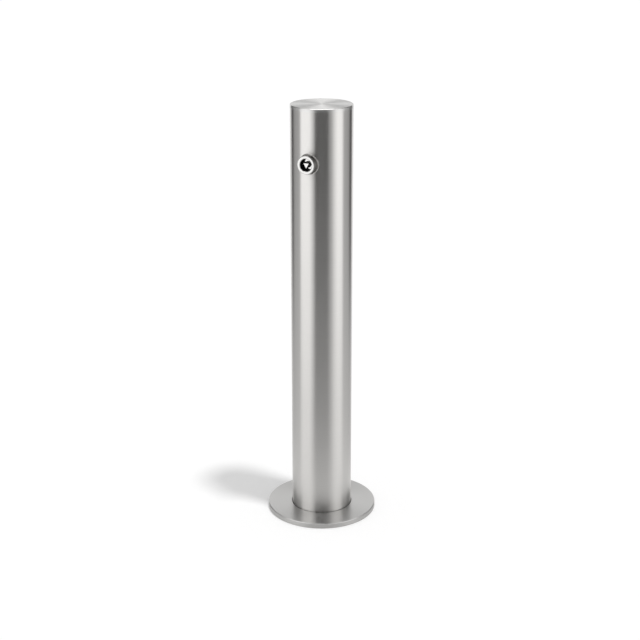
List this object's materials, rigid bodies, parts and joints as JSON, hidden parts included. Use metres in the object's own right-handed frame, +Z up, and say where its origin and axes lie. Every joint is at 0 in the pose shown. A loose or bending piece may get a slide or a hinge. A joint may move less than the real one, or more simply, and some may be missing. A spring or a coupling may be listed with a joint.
{
  "type": "removable bollard",
  "caption": "Round brushed steel bollard that lifts off a flanged spigot, with a triangular key lock near the top that closes two jaws on the spigot's pin.",
  "frame": {"origin": "centre of the base flange's underside, on the ground", "axes": "+Z up along the post, -Y towards the key boss, lock drawn released and post standing on its base"},
  "size_m": [0.208, 0.208, 0.793],
  "materials": {
    "brushed_tube": "grain brushed round the tube",
    "spun_cap": "turned face",
    "turned_flange": "turned face with a bevelled rim",
    "turned_boss": "bright turned",
    "bright_steel": "bright machined",
    "machined_steel": "machined, matt",
    "plated_steel": "zinc plated",
    "spring_steel": "blackened spring steel",
    "bronze": "sintered bronze",
    "black_nylon": "matt",
    "white_nylon": "matt",
    "black_rubber": "matt"
  },
  "bodies": {
    "base": {"base_flange": "turned_flange", "foot_gasket": "black_rubber", "locating_dowel": "machined_steel", "spigot_tube": "machined_steel", "king_pin": "machined_steel"},
    "post": {"post_tube": "brushed_tube", "top_cap": "spun_cap", "lower_guide_ring": "machined_steel", "spigot_guide_liner": "black_nylon", "jaw_bulkhead": "machined_steel", "jaw_rail_rear": "machined_steel", "jaw_rail_front": "machined_steel", "jaw_cover": "plated_steel", "jaw_cover_screws": "plated_steel", "rod_guide_disc": "plated_steel", "rod_guide_bush": "black_nylon", "key_boss": "turned_boss", "spindle_seal": "black_rubber", "front_spindle_bush": "bronze", "rear_spindle_bush": "bronze", "lock_case_front": "plated_steel", "lock_case_rear": "plated_steel", "rack_guide_right": "white_nylon", "rack_guide_left": "white_nylon", "lock_case_screws": "plated_steel"},
    "spindle": {"key_spindle": "bright_steel", "pinion": "machined_steel", "friction_spring_washer": "spring_steel", "retaining_clip": "spring_steel"},
    "rod_train": {"rack_plate": "plated_steel", "upper_rod_pin": "machined_steel", "pull_rod": "machined_steel", "lower_rod_pin": "machined_steel", "cam_yoke": "plated_steel"},
    "right_jaw_slider": {"right_jaw": "machined_steel", "right_jaw_pin": "machined_steel"},
    "left_jaw_slider": {"left_jaw": "machined_steel", "left_jaw_pin": "machined_steel"}
  },
  "joints": [
    {"name": "lift_off", "type": "slide", "parent": "base", "child": "post", "axis": [0, 0, 1], "range_m": [0, 0.31]},
    {"name": "key_turn", "type": "hinge", "parent": "post", "child": "spindle", "pos_m": [0, 0, 0.695], "axis": [0, 1, 0], "range_deg": [0, 90]},
    {"name": "rod_slide", "type": "slide", "parent": "post", "child": "rod_train", "axis": [0, 0, 1], "range_m": [-0.01885, 0]},
    {"name": "right_jaw_slide", "type": "slide", "parent": "post", "child": "right_jaw_slider", "axis": [-1, 0, 0], "range_m": [0, 0.01]},
    {"name": "left_jaw_slide", "type": "slide", "parent": "post", "child": "left_jaw_slider", "axis": [1, 0, 0], "range_m": [0, 0.01]}
  ],
  "couplings": [
    {"joint": "key_turn", "follows": "rod_slide", "rad_per_m": -83.333},
    {"joint": "right_jaw_slide", "follows": "rod_slide", "ratio": -0.53052},
    {"joint": "left_jaw_slide", "follows": "rod_slide", "ratio": -0.53052}
  ]
}
